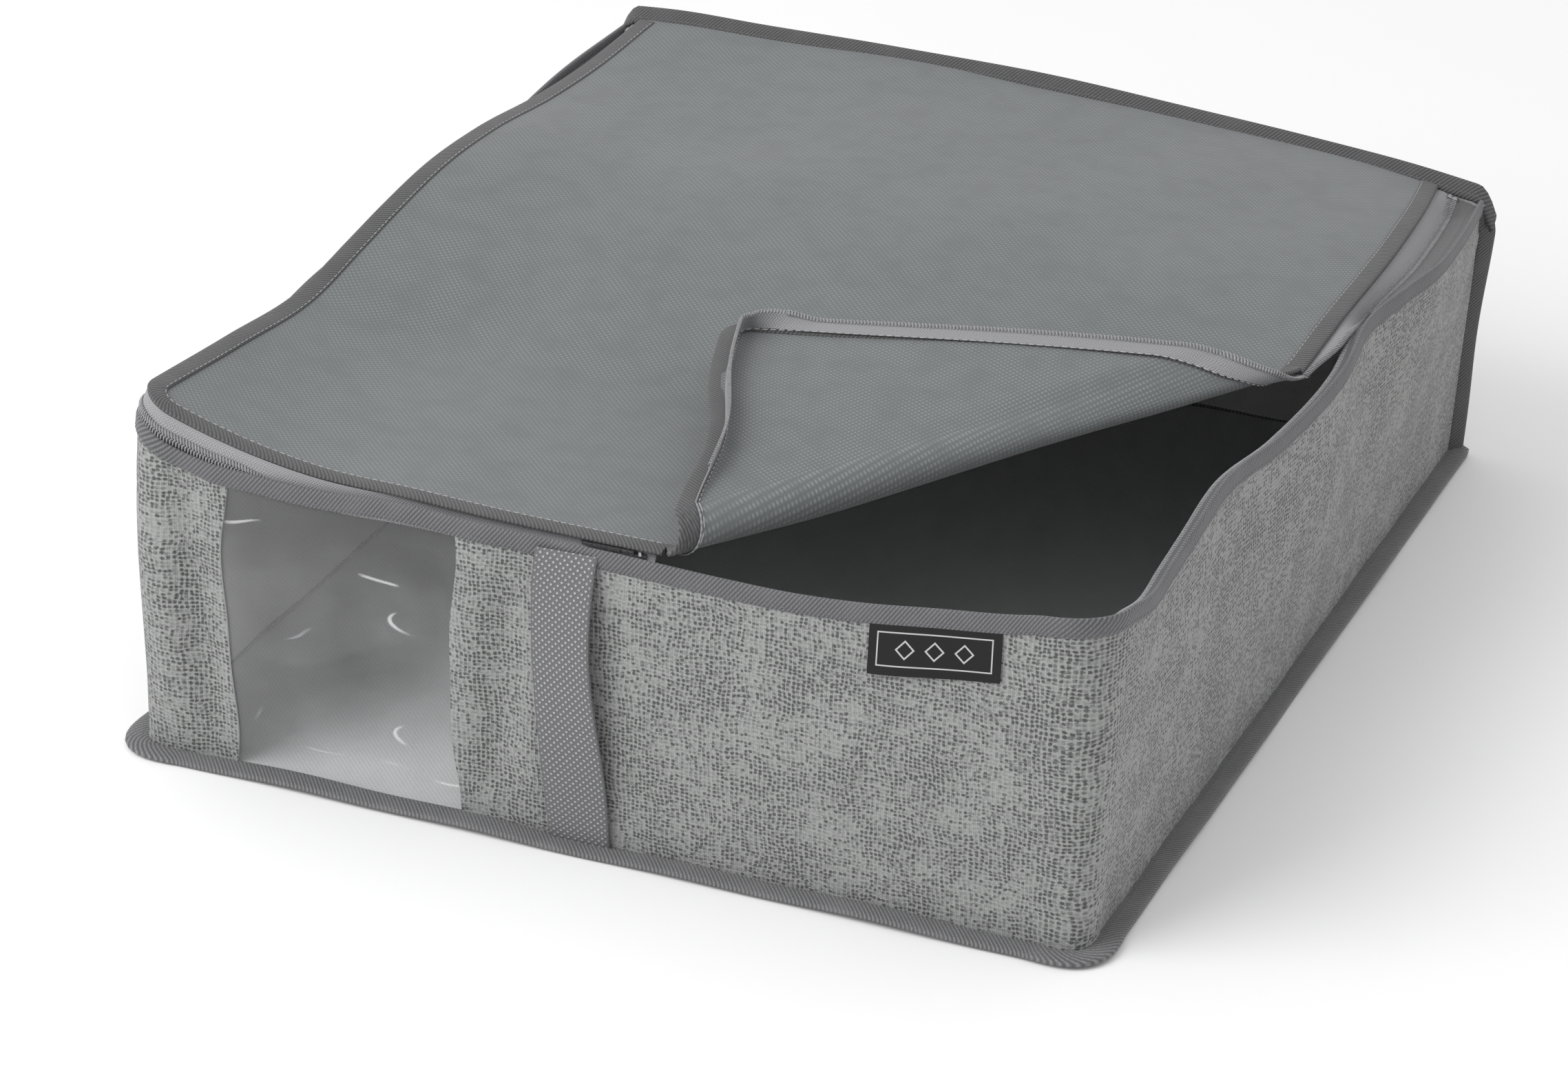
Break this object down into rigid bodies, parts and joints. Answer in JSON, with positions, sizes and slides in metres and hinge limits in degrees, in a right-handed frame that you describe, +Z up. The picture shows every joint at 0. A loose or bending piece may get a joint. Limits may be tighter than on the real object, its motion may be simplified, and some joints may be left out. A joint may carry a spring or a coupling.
{
  "type": "under bed storage box",
  "caption": "Low soft-sided storage box with bound seams, a clear window, a webbing strap and a zipped lid whose front right corner is folded back.",
  "frame": {"origin": "centre of the base on the floor, under the middle of the bound base seam", "axes": "+X along the front to the right as seen from the front, +Y from the front (window) to the back (lid seam), +Z up"},
  "size_m": [0.43, 0.505, 0.1699],
  "materials": {
    "print_cloth": "light grey non-woven printed with a dark linen-look fleck",
    "lid_cloth": "mid grey non-woven with a fine bonded dimple",
    "base_cloth": "plain grey non-woven",
    "clear_film": "clear soft film, glossy, lightly creased",
    "binding_tape": "dark grey twill binding tape",
    "zip_tape": "silver grey woven zip tape",
    "zip_coil": "grey nylon coil",
    "webbing": "grey webbing with paler picks",
    "label_cloth": "black satin",
    "slider_metal": "grey enamel",
    "stop_metal": "plain"
  },
  "bodies": {
    "box": {"base_panel": "base_cloth", "base_binding": "binding_tape", "side_wall_left": "print_cloth", "side_wall_right": "print_cloth", "back_wall": "print_cloth", "window_film": "clear_film", "rim_binding": "binding_tape", "back_corner_binding_left": "binding_tape", "back_corner_binding_right": "binding_tape", "back_top_binding": "binding_tape", "body_zip_tape": "zip_tape", "body_zip_coil": "zip_coil", "body_zip_stops": "stop_metal", "carrying_strap": "webbing", "side_label": "label_cloth"},
    "lid": {"lid_panel": "lid_cloth", "lid_binding": "binding_tape", "lid_zip_tape": "zip_tape", "lid_zip_coil": "zip_coil", "lid_zip_stops": "stop_metal"},
    "lid_corner": {"corner_panel": "lid_cloth", "corner_binding": "binding_tape", "corner_zip_tape": "zip_tape", "corner_zip_coil": "zip_coil"},
    "left_slider": {"left_slider": "slider_metal"},
    "left_pull": {"left_pull": "slider_metal"},
    "right_slider": {"right_slider": "slider_metal"},
    "right_pull": {"right_pull": "slider_metal"}
  },
  "joints": [
    {"name": "lid_hinge", "type": "hinge", "parent": "box", "child": "lid", "pos_m": [0, 0.241, 0.1382], "axis": [-1, 0, 0], "range_deg": [0, 120]},
    {"name": "corner_fold", "type": "hinge", "parent": "lid", "child": "lid_corner", "pos_m": [0.032, -0.2353, 0.1415], "axis": [0.5944, 0.8042, 0], "range_deg": [0, 172.5]},
    {"name": "left_slider_travel", "type": "slide", "parent": "box", "child": "left_slider", "axis": [1, 0, 0], "range_m": [-0.17, 0.1]},
    {"name": "left_pull_swing", "type": "hinge", "parent": "left_slider", "child": "left_pull", "pos_m": [0.014, -0.2353, 0.13395], "axis": [0, 1, 0], "range_deg": [0, 180]},
    {"name": "right_slider_travel", "type": "slide", "parent": "box", "child": "right_slider", "axis": [0, 1, 0], "range_m": [-0.23, 0.13]},
    {"name": "right_pull_swing", "type": "hinge", "parent": "right_slider", "child": "right_pull", "pos_m": [0.1978, 0.08, 0.13395], "axis": [1, 0, 0], "range_deg": [0, 180]}
  ]
}
